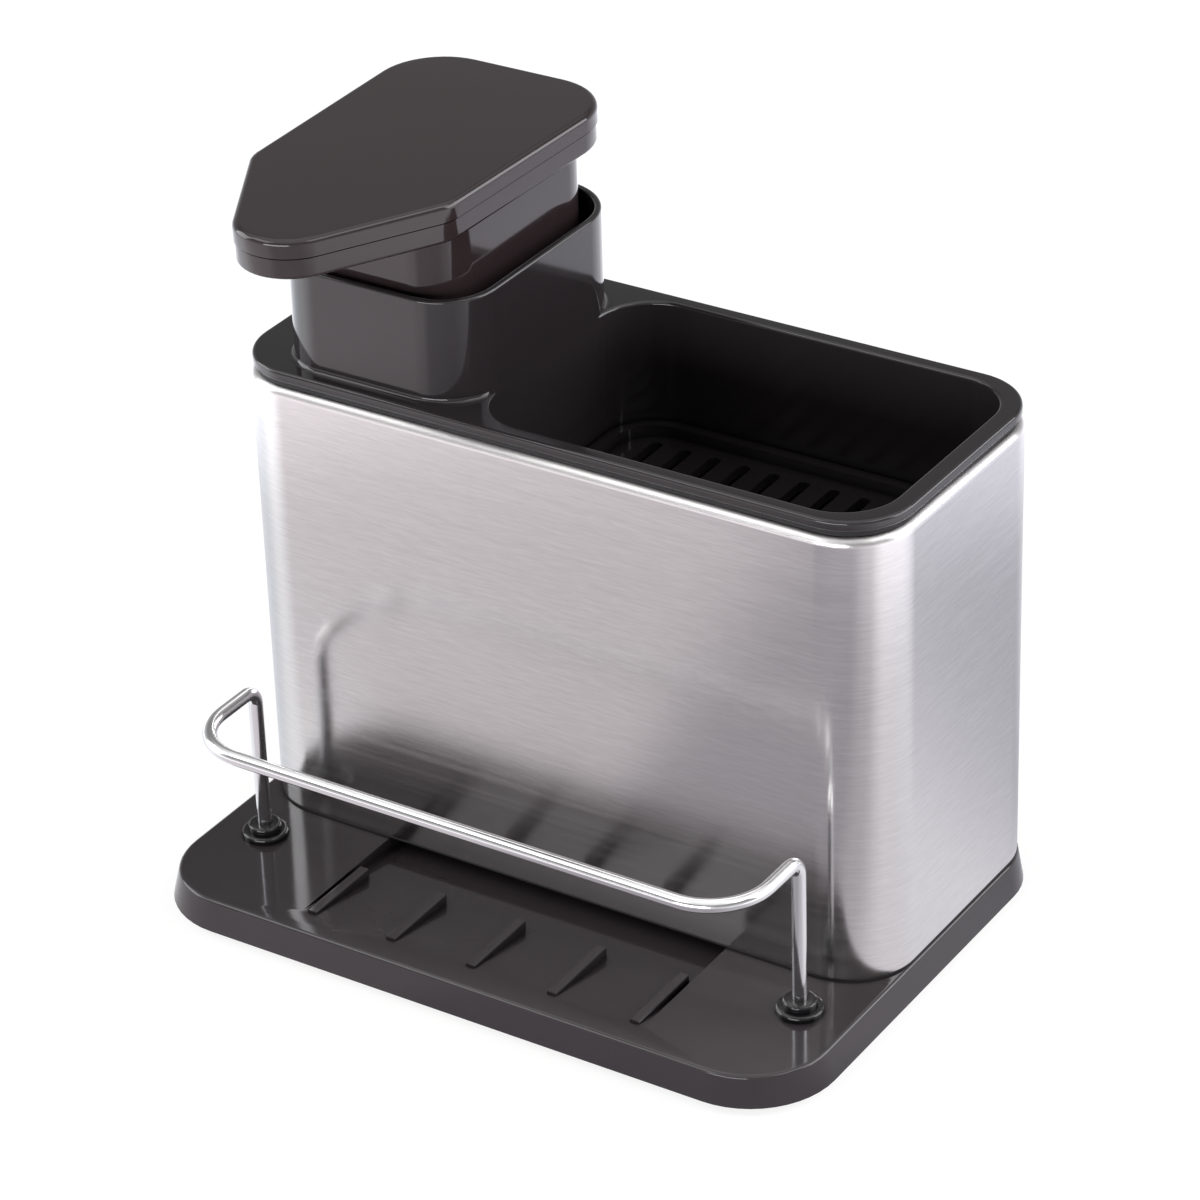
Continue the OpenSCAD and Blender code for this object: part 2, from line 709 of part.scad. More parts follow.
module return_spring()
    color(STEEL) turned(tube(pump_bore - 2 * spring_gap, pump_bore - 2 * spring_gap - 2 * spring_wire,
        spring_z0, piston_z0));

module spring_seat()
    color(WHITE) turned(tube(pump_bore - 2 * run_gap, stem_bore, spring_z0 - seat_t, spring_z0));

module check_ball()
    color(STEEL) translate([pump_x, pump_y,
        chamber_z0 + sqrt(ball_dia * ball_dia - inlet_bore * inlet_bore) / 2 + ball_gap])
        sphere(d = ball_dia);

module dip_tube()
    color(WHITE) turned(tube(dip_dia, inlet_dia + 2 * run_gap, dip_z0, cyl_z0 - seat_gap));

module inlet_strainer()
    color(WHITE) difference() {
        turned([[0, floor_z + seat_gap], [dip_dia / 2 + strainer_w, floor_z + seat_gap],
            [dip_dia / 2 + strainer_w, dip_z0 + strainer_h], [dip_dia / 2 + run_gap, dip_z0 + strainer_h],
            [dip_dia / 2 + run_gap, dip_z0], [dip_dia / 2 - tube_wall, dip_z0],
            [dip_dia / 2 - tube_wall, floor_z + seat_gap + strainer_t],
            [0, floor_z + seat_gap + strainer_t]]);
        for (a = [0:60:120])
            translate([pump_x, pump_y, (floor_z + seat_gap + strainer_t + dip_z0) / 2]) rotate([0, 0, a])
                cube([dip_dia + 2 * strainer_w + over, strainer_w,
                    dip_z0 - floor_z - seat_gap - strainer_t - sliver], center = true);
    }

// Pump head
module stem()
    color(WHITE) turned([
        [stem_bore / 2, piston_z0], [stem_dia / 2, piston_z0], [stem_dia / 2, piston_z1],
        [stem_dia / 2 + shoulder_w, piston_z1], [stem_dia / 2 + shoulder_w, piston_z1 + shoulder_h],
        [stem_dia / 2, piston_z1 + shoulder_h], [stem_dia / 2, stem_z1], [stem_bore / 2, stem_z1]]);

module piston_seal()
    color(DARK) turned(tube(pump_bore - 2 * run_gap, stem_dia + 2 * run_gap, piston_z0, piston_z1));

module plunger()
    color(BLACK) difference() {
        union() {
            difference() {
                prism(plunger_box, plunger_z0, shell_z0);
                prism(grow(plunger_box, -head_wall), plunger_z0 - over, roof_z0);
            }
            translate([pump_x, pump_y, socket_z0])
                cylinder(d = socket_dia, h = roof_z0 + root - socket_z0);
            translate([plunger_box[0] + head_wall / 2, pump_y - web_t / 2, roof_z0 - web_h])
                cube([plunger_box[1] - plunger_box[0] - head_wall, web_t, web_h + root]);
            translate([pump_x - web_t / 2, plunger_box[2] + head_wall / 2, roof_z0 - web_h])
                cube([web_t, plunger_box[3] - plunger_box[2] - head_wall, web_h + root]);
        }
        translate([pump_x, pump_y, socket_z0 - over])
            cylinder(d = stem_dia + 2 * run_gap, h = stem_z1 + over - socket_z0);
        translate([pump_x, pump_y, socket_z0])
            cylinder(d = spout_dia + 2 * run_gap, h = shell_z0 + over - socket_z0);
    }

// The head's outline, from its middle: a nose disc, two shoulder discs and two back discs,
// joined by straight edges that touch them
nose = [0, head_nose_r - head_len / 2];
shoulder = [head_shoulder_half - head_shoulder_r, head_taper_len - head_len / 2];
back = [head_back_half - head_back_r, head_len / 2 - head_back_r];
function edge_angle(p, q, rp, rq) =
    atan2(q[1] - p[1], q[0] - p[0]) - acos((rp - rq) / norm(q - p));
angle_a = edge_angle(nose, shoulder, head_nose_r, head_shoulder_r);
angle_b = edge_angle(shoulder, back, head_shoulder_r, head_back_r);

function outline(d) = concat(
    turn(nose[0], nose[1], head_nose_r - d, 180 - angle_a, 360 + angle_a, 16),
    turn(shoulder[0], shoulder[1], head_shoulder_r - d, angle_a, angle_b, 5),
    turn(back[0], back[1], head_back_r - d, angle_b, 90, 12),
    turn(-back[0], back[1], head_back_r - d, 90, 180 - angle_b, 12),
    turn(-shoulder[0], shoulder[1], head_shoulder_r - d, 180 - angle_b, 180 - angle_a, 5));

module on_head(z) translate([pump_x, head_y1 - head_len / 2, z]) children();

// Solid on the head's outline from a list of layers, [height, distance in]
module head_form(z, layers) {
    n = len(outline(0));
    m = len(layers);
    on_head(z) polyhedron(
        points = [for (l = layers) for (p = outline(l[1])) [p[0], p[1], l[0]]],
        faces = concat([[for (i = [0:n - 1]) i]], [[for (i = [n - 1:-1:0]) (m - 1) * n + i]],
            [for (k = [0:m - 2]) for (i = [0:n - 1]) let (a = k * n, j = (i + 1) % n)
                [a + i, a + i + n, a + j + n]],
            [for (k = [0:m - 2]) for (i = [0:n - 1]) let (a = k * n, j = (i + 1) % n)
                [a + i, a + j + n, a + j]]));
}

module head_prism(z, h, d) on_head(z) linear_extrude(height = h) polygon(outline(d));

module head_shell()
    color(BLACK) difference() {
        union() {
            head_form(shell_z0, concat(
                [for (a = [90:-18:0]) [shell_edge_r * (1 - sin(a)), shell_in + shell_edge_r * (1 - cos(a))]],
                [[shell_h - groove_h, shell_in]]));
            head_prism(shell_z1 - groove_h - root, groove_h + root, groove_in);
        }
        head_prism(shell_z0 + head_wall, shell_h - head_wall + over, groove_in + neck_w);
        translate([pump_x, pump_y, shell_z0 - over])
            cylinder(d = spout_dia + 2 * run_gap, h = head_wall + 2 * over);
        translate([pump_x, spout_y, shell_z0 - over])
            cylinder(d = nozzle_dia + 2 * run_gap, h = head_wall + 2 * over);
    }

module head_cover()
    color(BLACK) difference() {
        head_form(shell_z1, concat([[0, 0]],
            [for (a = [0:15:90]) [cover_h - cover_edge_r * (1 - sin(a)), cover_edge_r * (1 - cos(a))]]));
        head_prism(shell_z1 - over, cover_h - head_wall + over, head_wall);
    }

module spout_tube()
    color(WHITE) difference() {
        spout_line(spout_dia, 0);
        spout_line(spout_bore, over);
    }

module spout_line(d, more) {
    translate([pump_x, pump_y, stem_z1 + seat_gap - more])
        cylinder(d = d, h = spout_z - spout_bend_r - stem_z1 - seat_gap + more);
    translate([pump_x, pump_y - spout_bend_r, spout_z - spout_bend_r]) rotate([90, 0, 90])
        rotate_extrude(angle = 90) translate([spout_bend_r, 0]) circle(d = d);
    translate([pump_x, pump_y - spout_bend_r, spout_z]) rotate([90, 0, 0])
        cylinder(d = d, h = pump_y - spout_bend_r - spout_y + more);
}

module nozzle()
    color(WHITE) translate([pump_x, spout_y, 0]) difference() {
        union() {
            translate([0, 0, shell_z0 - nozzle_drop])
                cylinder(d = nozzle_dia, h = spout_z + spout_dia / 2 - shell_z0 + nozzle_drop);
            translate([0, 0, shell_z0 + head_wall])
                cylinder(d = nozzle_dia + 2 * nozzle_flange, h = nozzle_flange_t);
        }
        translate([0, 0, shell_z0 - nozzle_drop - over])
            cylinder(d = spout_bore, h = spout_z - shell_z0 + nozzle_drop + over);
        translate([0, 0, spout_z]) rotate([-90, 0, 0])
            cylinder(d = spout_dia + 2 * run_gap, h = nozzle_dia);
    }

base_tray();
foot_front_left();
foot_front_right();
foot_back_left();
foot_back_right();
rail();
grommet_left();
grommet_right();
push_nut_left();
push_nut_right();
sleeve();
sleeve_seal();
liner();
rim_seal();
soap_tank();
tank_gasket();
drain_seal();
drain_grille();
pump_plate();
plate_gasket();
pump_cylinder();
cylinder_nut();
stem_guide();
return_spring();
spring_seat();
check_ball();
dip_tube();
inlet_strainer();
stem();
piston_seal();
plunger();
head_shell();
head_cover();
spout_tube();
nozzle();
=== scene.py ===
"""Soap pump caddy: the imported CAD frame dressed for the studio. Metres, +Z up, front towards -Y."""
import bmesh
import bpy
import json
import math
from mathutils import Matrix, Vector


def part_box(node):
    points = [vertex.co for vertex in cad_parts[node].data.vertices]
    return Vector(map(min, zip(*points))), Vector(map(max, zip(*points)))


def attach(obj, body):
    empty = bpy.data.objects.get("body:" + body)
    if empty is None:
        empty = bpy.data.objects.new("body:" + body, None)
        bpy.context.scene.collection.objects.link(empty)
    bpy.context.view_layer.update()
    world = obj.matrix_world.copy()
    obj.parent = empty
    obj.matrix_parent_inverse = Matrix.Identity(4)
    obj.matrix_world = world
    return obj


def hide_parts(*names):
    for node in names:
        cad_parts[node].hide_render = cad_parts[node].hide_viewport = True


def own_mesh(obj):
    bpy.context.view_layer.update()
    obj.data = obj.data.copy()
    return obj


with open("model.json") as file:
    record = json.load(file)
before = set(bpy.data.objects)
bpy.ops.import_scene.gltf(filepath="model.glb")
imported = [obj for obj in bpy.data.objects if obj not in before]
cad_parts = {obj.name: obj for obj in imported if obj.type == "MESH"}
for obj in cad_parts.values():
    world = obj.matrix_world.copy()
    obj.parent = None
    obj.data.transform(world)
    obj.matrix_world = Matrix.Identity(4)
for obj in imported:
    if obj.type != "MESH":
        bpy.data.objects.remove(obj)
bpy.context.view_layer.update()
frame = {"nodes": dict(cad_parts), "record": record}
NODES = frame["nodes"]
MM = 0.001

# Camera, solved from the photograph's outlines
CAM_AZIMUTH = math.radians(33.261)
CAM_ELEVATION = math.radians(29.896)
CAM_ROLL = math.radians(-1.948)
CAM_TARGET = Vector((6.764, -4.084, 85.242)) * MM
CAM_DISTANCE = 1080.055 * MM
CAM_LENS = 139.07
SENSOR = 36.0

# Colours, linear
CHARCOAL = (0.037, 0.031, 0.034)
CHARCOAL_HEAD = (0.033, 0.0225, 0.0240)
CHARCOAL_LINER = (0.028, 0.024, 0.026)
BLACK = (0.010, 0.009, 0.010)
STEEL = (0.662, 0.645, 0.643)
CHROME = (0.82, 0.82, 0.83)
NATURAL = (0.74, 0.74, 0.71)
FLOOR = (0.9, 0.9, 0.895)
WHITE = (1, 1, 1)
SPRING_SHADE, PUMP_SHADE = 0.8, 1.05

# Return spring
COIL_WIRE = 1.2 * MM
COIL_TURNS = 6.0
COIL_CLOSED = 1.25
COIL_PITCH_SHARE = 1.02
COIL_STEPS = 28
WIRE_SIDES = 12

# Sky: its level for soft light, and in reflections from the horizon up, by the height's sine
SKY_LEVEL = 0.16
SKY_COLOUR = (0.98, 0.98, 1.0)
SKY_RISE = ((0.0, 0.80), (0.25, 0.50), (0.53, 0.21), (0.76, 0.92), (1.0, 1.3))

# Noise lies mostly between these two values
NOISE_LOW, NOISE_HIGH = 0.3, 0.7

# Noise patterns: scale, stretch along X, Y and Z, detail, roughness
EVEN = (1, 1, 1)
PLASTIC_FLOW = (18.0, (1, 1, 2.5), 4.0, 0.6)
PLASTIC_WIPED = (55.0, EVEN, 5.0, 0.65)
PLASTIC_PEEL = (900.0, EVEN, 2.0, 0.5)
BRUSH_LINES = (1.0, (120, 120, 1500), 5.0, 0.8)
BRUSH_BROAD = (1.0, (9, 9, 500), 3.0, 0.6)
SHEET_WAVE = (14.0, (1, 1, 0.5), 1.0, 0.4)
CHROME_WIPED = (120.0, EVEN, 4.0, 0.6)
CHROME_FINE = (1500.0, EVEN, 2.0, 0.5)
RUBBER_DUST = (240.0, EVEN, 5.0, 0.7)
RESIN_FLOW = (30.0, (1, 1, 2), 4.0, 0.6)
RESIN_PEEL = (700.0, EVEN, 2.0, 0.5)
FLOOR_MOTTLE = (6.0, EVEN, 3.0, 0.5)

# Reliefs: strength and height
PLASTIC_RELIEF = (0.05, 0.00004)
BRUSH_RELIEF = (0.28, 0.00003)
WAVE_RELIEF = (0.03, 0.0006)
CHROME_RELIEF = (0.03, 0.00002)
RUBBER_RELIEF = (0.15, 0.00005)
RESIN_RELIEF = (0.08, 0.00005)

# Darkest and lightest shade of each colour, as factors of it
PLASTIC_SHADES = (0.9, 1.12)
STEEL_SHADES = (0.92, 1.06)
CHROME_SHADES = (0.93, 1.0)
RUBBER_SHADES = (0.8, 1.5)
RESIN_SHADES = (0.90, 1.04)
FLOOR_SHADES = (0.995, 1.0)

# Ranges of roughness
GLOSSY_PLASTIC = (0.07, 0.13)
GLOSSY_HEAD = (0.05, 0.10)
GLOSSY_GROMMET = (0.08, 0.16)
SATIN_CHROME = (0.12, 0.18)
SATIN_STEEL = (0.145, 0.195)
SATIN_TANK = (0.35, 0.5)
SATIN_PUMP = (0.3, 0.42)
DULL_RUBBER = (0.55, 0.8)

# Painted shade on plastic in gaps and creases: how near a neighbour darkens it, and the level of its
# colour and sheen
# in the gap and in the open, with the shares of open space between which that changes
CREASE = 3.5 * MM
CREASE_SAMPLES = 8
SHEEN = 0.52
CREASE_PAINTED_SHADE = (0.15, 1.0, 0.25, 0.85)
CREASE_SHEEN_PAINTED_SHADE = (0.06, SHEEN, 0.25, 0.75)

# Brushed steel: how much its gloss is drawn out across the lines, and the rolled edge, which grows
# duller from ROLL_START to ROLL_FULL below its top
BRUSH_DRAW, BRUSH_TURN = 0.72, 0.25
ROLL_START = 2.2 * MM
ROLL_FULL = ROLL_START / 3
ROLL_ROUGHER = 0.2

# Light that passes into unfilled plastic
RESIN_DEPTH_SHARE = 0.15
RESIN_DEPTH = (0.004, 0.004, 0.003)

# Shading of the CAD nodes
WELD_REACH = 0.000005
SMOOTH_ANGLE = math.radians(32)

# Lamps, all turned to CENTRE: azimuth and elevation in degrees, distance, size, level, colour
CENTRE = Vector((0, 0, 0.09))
LAMPS = {
    "front": (4, 7, 1.5, (1.3, 0.4), 0.54, (0.97, 0.98, 1.0)),
    "left": (-74, 21, 1.4, (0.8, 0.9), 0.44, (0.96, 0.98, 1.0)),
    "right": (122, 23, 1.4, (1.1, 0.9), 0.66, (0.97, 0.97, 1.0)),
    "front_strip": (-42, 48, 1.5, (1.0, 0.5), 0.17),
    "right_strip": (96, 52, 1.5, (1.0, 0.5), 0.14),
}

# White cards round the object: azimuth in degrees from the front, positive to its right, and colour
CARDS = (
    (-90, (0.86, 0.89, 0.95)),
    (-70, (1.08, 1.09, 1.12)),
    (-46, (0.78, 0.74, 0.77)),
    (-20, (0.72, 0.68, 0.71)),
    (-5, (0.43, 0.41, 0.44)),
    (42, (0.40, 0.38, 0.41)),
    (62, (0.56, 0.55, 0.58)),
    (84, (0.90, 0.88, 0.92)),
    (112, (0.92, 0.92, 0.98)),
    (140, (0.58, 0.58, 0.64)),
    (168, (0.80, 0.80, 0.86)),
    (215, (0.90, 0.90, 0.94)),
)
# Degrees in a turn, and the share of the radial gradient's turn at which the front lies
FULL_TURN = 360.0
FRONT_AT = 0.25
# How far out the cards stand, and how much brighter they are there than the table near the object
CARD_NEAR, CARD_FAR, CARD_GAIN = 0.25, 0.33, 1.9

# Floor: half its width, how much of its white is glow, and the glow's level from near to far
FLOOR_HALF = 3.0
FLOOR_ROUGHNESS = 0.9
FLOOR_GLOW_SHARE = 0.74
GLOW_COLOUR = (1.0, 1.0, 0.995)
GLOW_LEVELS, GLOW_REACH = (1.16, 1.36), (0.3, 1.5)


# Node helpers

def new_material(name):
    mat = bpy.data.materials.new(name)
    mat.use_nodes = True
    return mat, mat.node_tree.nodes, mat.node_tree.links, mat.node_tree.nodes["Principled BSDF"]


def noise(nodes, links, coords, pattern):
    scale, stretch, detail, rough = pattern
    mapping = nodes.new("ShaderNodeMapping")
    mapping.inputs["Scale"].default_value = stretch
    links.new(coords.outputs["Object"], mapping.inputs["Vector"])
    tex = nodes.new("ShaderNodeTexNoise")
    tex.inputs["Scale"].default_value = scale
    tex.inputs["Detail"].default_value = detail
    tex.inputs["Roughness"].default_value = rough
    links.new(mapping.outputs["Vector"], tex.inputs["Vector"])
    return tex.outputs["Fac"]


def span(nodes, links, value, low, high, from_low=NOISE_LOW, from_high=NOISE_HIGH):
    """From low to high as the value goes from from_low to from_high."""
    node = nodes.new("ShaderNodeMapRange")
    node.inputs["From Min"].default_value = from_low
    node.inputs["From Max"].default_value = from_high
    node.inputs["To Min"].default_value = low
    node.inputs["To Max"].default_value = high
    links.new(value, node.inputs["Value"])
    return node.outputs["Result"]


def tint(nodes, links, value, colour, shades):
    """The colour, between its darkest and lightest shade."""
    node = nodes.new("ShaderNodeMix")
    node.data_type = "RGBA"
    links.new(value, node.inputs["Factor"])
    for socket, shade in zip("AB", shades):
        node.inputs[socket].default_value = (*scaled(colour, shade), 1)
    return node.outputs["Result"]


def painted_crease_shade(nodes):
    """Painted shade: low in a narrow gap, 1 in the open."""
    node = nodes.new("ShaderNodeAmbientOcclusion")
    node.samples = CREASE_SAMPLES
    node.inputs["Distance"].default_value = CREASE
    return node.outputs["AO"]


def scaled(colour, factor):
    return tuple(c * factor for c in colour)


def height_of(nodes, links, place):
    node = nodes.new("ShaderNodeSeparateXYZ")
    links.new(place, node.inputs["Vector"])
    return node.outputs["Z"]


def distance_of(nodes, links, place):
    node = nodes.new("ShaderNodeVectorMath")
    node.operation = "LENGTH"
    links.new(place, node.inputs["Vector"])
    return node.outputs["Value"]


def bump(nodes, links, height, relief, normal=None):
    node = nodes.new("ShaderNodeBump")
    node.inputs["Strength"].default_value, node.inputs["Distance"].default_value = relief
    links.new(height, node.inputs["Height"])
    if normal:
        links.new(normal, node.inputs["Normal"])
    return node.outputs["Normal"]


# Materials

def moulded(name, colour, roughness):
    """Glossy moulded plastic: flow marks in the colour, wiped patches, orange peel, and painted shade
    that darkens its colour and sheen in creases and gaps.
    """
    mat, nodes, links, shader = new_material(name)
    coords = nodes.new("ShaderNodeTexCoord")
    flow = noise(nodes, links, coords, PLASTIC_FLOW)
    body = tint(nodes, links, flow, colour, PLASTIC_SHADES)
    # Painted shade: where a neighbour is near, the colour and the sheen are darkened
    gap = painted_crease_shade(nodes)
    shade = nodes.new("ShaderNodeVectorMath")
    shade.operation = "SCALE"
    links.new(body, shade.inputs["Vector"])
    links.new(span(nodes, links, gap, *CREASE_PAINTED_SHADE), shade.inputs["Scale"])
    links.new(shade.outputs["Vector"], shader.inputs["Base Color"])
    links.new(span(nodes, links, gap, *CREASE_SHEEN_PAINTED_SHADE), shader.inputs["Specular IOR Level"])
    wiped = noise(nodes, links, coords, PLASTIC_WIPED)
    links.new(span(nodes, links, wiped, *roughness), shader.inputs["Roughness"])
    peel = noise(nodes, links, coords, PLASTIC_PEEL)
    links.new(bump(nodes, links, peel, PLASTIC_RELIEF), shader.inputs["Normal"])
    return mat


def brushed(name, colour, edge):
    """Steel brushed along the horizontal: fine lines, broken gloss, a slight wave, a duller edge."""
    mat, nodes, links, shader = new_material(name)
    coords = nodes.new("ShaderNodeTexCoord")
    shader.inputs["Metallic"].default_value = 1.0
    lines = noise(nodes, links, coords, BRUSH_LINES)
    broad = noise(nodes, links, coords, BRUSH_BROAD)
    streaks = span(nodes, links, lines, 0.0, 1.0)
    links.new(tint(nodes, links, streaks, colour, STEEL_SHADES), shader.inputs["Base Color"])
    height = height_of(nodes, links, coords.outputs["Object"])
    rolled = span(nodes, links, height, 0.0, ROLL_ROUGHER, edge - ROLL_START, edge - ROLL_FULL)
    gloss = nodes.new("ShaderNodeMath")
    links.new(span(nodes, links, broad, *SATIN_STEEL), gloss.inputs[0])
    links.new(rolled, gloss.inputs[1])
    links.new(gloss.outputs["Value"], shader.inputs["Roughness"])
    fine = bump(nodes, links, lines, BRUSH_RELIEF)
    wave = noise(nodes, links, coords, SHEET_WAVE)
    links.new(bump(nodes, links, wave, WAVE_RELIEF, fine), shader.inputs["Normal"])
    shader.inputs["Anisotropic"].default_value = BRUSH_DRAW
    shader.inputs["Anisotropic Rotation"].default_value = BRUSH_TURN
    tangent = nodes.new("ShaderNodeTangent")
    tangent.direction_type = "RADIAL"
    tangent.axis = "Z"
    links.new(tangent.outputs["Tangent"], shader.inputs["Tangent"])
    return mat


def plated(name, colour):
    """Bright chrome with faint drawing lines and a few wiped patches."""
    mat, nodes, links, shader = new_material(name)
    coords = nodes.new("ShaderNodeTexCoord")
    shader.inputs["Metallic"].default_value = 1.0
    wiped = noise(nodes, links, coords, CHROME_WIPED)
    links.new(tint(nodes, links, wiped, colour, CHROME_SHADES), shader.inputs["Base Color"])
    links.new(span(nodes, links, wiped, *SATIN_CHROME), shader.inputs["Roughness"])
    fine = noise(nodes, links, coords, CHROME_FINE)
    links.new(bump(nodes, links, fine, CHROME_RELIEF), shader.inputs["Normal"])
    return mat


def rubber(name, colour):
    """Satin rubber with a little dust."""
    mat, nodes, links, shader = new_material(name)
    coords = nodes.new("ShaderNodeTexCoord")
    dust = noise(nodes, links, coords, RUBBER_DUST)
    links.new(tint(nodes, links, dust, colour, RUBBER_SHADES), shader.inputs["Base Color"])
    links.new(span(nodes, links, dust, *DULL_RUBBER), shader.inputs["Roughness"])
    links.new(bump(nodes, links, dust, RUBBER_RELIEF), shader.inputs["Normal"])
    return mat


def natural(name, colour, roughness):
    """Unfilled white plastic, a little translucent."""
    mat, nodes, links, shader = new_material(name)
    coords = nodes.new("ShaderNodeTexCoord")
    flow = noise(nodes, links, coords, RESIN_FLOW)
    links.new(tint(nodes, links, flow, colour, RESIN_SHADES), shader.inputs["Base Color"])
    links.new(span(nodes, links, flow, *roughness), shader.inputs["Roughness"])
    peel = noise(nodes, links, coords, RESIN_PEEL)
    links.new(bump(nodes, links, peel, RESIN_RELIEF), shader.inputs["Normal"])
    shader.inputs["Subsurface Weight"].default_value = RESIN_DEPTH_SHARE
    shader.inputs["Subsurface Radius"].default_value = RESIN_DEPTH
    return mat


MATERIALS = {
    "tray_plastic": moulded("tray_plastic", CHARCOAL, GLOSSY_PLASTIC),
    "liner_plastic": moulded("liner_plastic", CHARCOAL_LINER, GLOSSY_PLASTIC),
    "head_plastic": moulded("head_plastic", CHARCOAL_HEAD, GLOSSY_HEAD),
    "black_rubber": rubber("black_rubber", BLACK),
    "black_grommet": moulded("black_grommet", BLACK, GLOSSY_GROMMET),
    "chrome_wire": plated("chrome_wire", CHROME),
    "sleeve_steel": brushed("sleeve_steel", STEEL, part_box("sleeve")[1][2]),
    "spring_steel": plated("spring_steel", scaled(CHROME, SPRING_SHADE)),
    "tank_plastic": natural("tank_plastic", NATURAL, SATIN_TANK),
    "pump_plastic": natural("pump_plastic", scaled(NATURAL, PUMP_SHADE), SATIN_PUMP),
}


# Objects

def placed(name, data):
    """A new object in the scene."""
    obj = bpy.data.objects.new(name, data)
    bpy.context.scene.collection.objects.link(obj)
    return obj


# CAD nodes: smooth shading between faces that meet at a small angle

def dress_cad():
    slots = {s["node"]: s["material_slot"] for s in frame["record"]["subparts"]}
    for name, obj in NODES.items():
        obj.data.materials.clear()
        obj.data.materials.append(MATERIALS[slots[name]])
        obj.data.polygons.foreach_set("use_smooth", [True] * len(obj.data.polygons))
        weld = obj.modifiers.new("weld", "WELD")
        weld.merge_threshold = WELD_REACH
        split = obj.modifiers.new("split", "EDGE_SPLIT")
        split.split_angle = SMOOTH_ANGLE
        weight = obj.modifiers.new("weight", "WEIGHTED_NORMAL")
        weight.keep_sharp = True


# Return spring: an open coil with closed ends round the stem

def coil_path(radius, low, high):
    """Points of a helix whose end turns lie close together."""
    turns = COIL_TURNS + 2 * COIL_CLOSED
    pitch = COIL_WIRE * COIL_PITCH_SHARE
    closed_rise = COIL_CLOSED * pitch
    open_rise = high - low - COIL_WIRE - 2 * closed_rise
    points = []
    for k in range(int(turns * COIL_STEPS) + 1):
        turn = k / COIL_STEPS
        if turn < COIL_CLOSED:
            z = low + COIL_WIRE / 2 + turn * pitch
        elif turn > turns - COIL_CLOSED:
            z = high - COIL_WIRE / 2 - (turns - turn) * pitch
        else:
            share = (turn - COIL_CLOSED) / COIL_TURNS
            z = low + COIL_WIRE / 2 + closed_rise + share * open_rise
        angle = turn * math.tau
        points.append(Vector((radius * math.cos(angle), radius * math.sin(angle), z)))
    return points


def tube_mesh(name, points, radius):
    """A closed tube along points, with flat ends, in mesh code."""
    around = [k * math.tau / WIRE_SIDES for k in range(WIRE_SIDES)]
    mesh = bmesh.new()
    rings = []
    for k, point in enumerate(points):
        ahead = (points[min(k + 1, len(points) - 1)] - points[max(k - 1, 0)]).normalized()
        across = Vector((0, 0, 1)).cross(ahead).normalized()
        over = ahead.cross(across)
        rings.append([mesh.verts.new(point + (across * math.cos(a) + over * math.sin(a)) * radius)
                      for a in around])
    for low, high in zip(rings, rings[1:]):
        for j in range(WIRE_SIDES):
            beside = (j + 1) % WIRE_SIDES
            mesh.faces.new((low[j], low[beside], high[beside], high[j]))
    mesh.faces.new(list(reversed(rings[0])))
    mesh.faces.new(rings[-1])
    bmesh.ops.recalc_face_normals(mesh, faces=mesh.faces)
    data = bpy.data.meshes.new(name)
    mesh.to_mesh(data)
    mesh.free()
    data.polygons.foreach_set("use_smooth", [len(p.vertices) == 4 for p in data.polygons])
    return placed(name, data)


def return_coil():
    low, high = (Vector(c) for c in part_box("return_spring"))
    middle = (low + high) / 2
    radius = (high.x - low.x) / 2 - COIL_WIRE / 2
    centre = Vector((middle.x, middle.y, 0))
    path = [point + centre for point in coil_path(radius, low.z, high.z)]
    coil = tube_mesh("return_coil", path, COIL_WIRE / 2)
    coil.data.materials.append(MATERIALS["spring_steel"])
    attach(coil, "pump")
    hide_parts("return_spring")
    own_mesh(coil)


# Stage: floor, cards, backdrop and lamps

def ray_kind(nodes, kind):
    return nodes.new("ShaderNodeLightPath").outputs[kind]


def fill_ramp(knots, stops):
    """Set a new ramp's two knots to the first and last stop, and add the others between them."""
    ends = (stops[0], stops[-1])
    for knot, (position, colour) in zip(list(knots), ends):
        knot.position, knot.color = position, (*colour, 1)
    for position, colour in stops[1:-1]:
        knots.new(position).color = (*colour, 1)


def cards(nodes, links, place):
    """Colour and gain of the cards that stand in the direction of a place on the floor."""
    sweep = nodes.new("ShaderNodeTexGradient")
    sweep.gradient_type = "RADIAL"
    links.new(place, sweep.inputs["Vector"])
    ramp = nodes.new("ShaderNodeValToRGB")
    ramp.color_ramp.interpolation = "EASE"
    stops = sorted(((azimuth / FULL_TURN + FRONT_AT) % 1.0, colour) for azimuth, colour in CARDS)
    fill_ramp(ramp.color_ramp.elements, [*stops, (1.0, stops[0][1])])
    links.new(sweep.outputs["Fac"], ramp.inputs["Fac"])
    reach = distance_of(nodes, links, place)
    gain = span(nodes, links, reach, 1.0, CARD_GAIN, CARD_NEAR, CARD_FAR)
    return ramp.outputs["Color"], gain


def glow(nodes, colour):
    node = nodes.new("ShaderNodeEmission")
    node.inputs["Color"].default_value = (*colour, 1)
    return node


def mixed(nodes, links, factor, first, second):
    node = nodes.new("ShaderNodeMixShader")
    links.new(factor, node.inputs["Fac"])
    links.new(first, node.inputs[1])
    links.new(second, node.inputs[2])
    return node.outputs["Shader"]


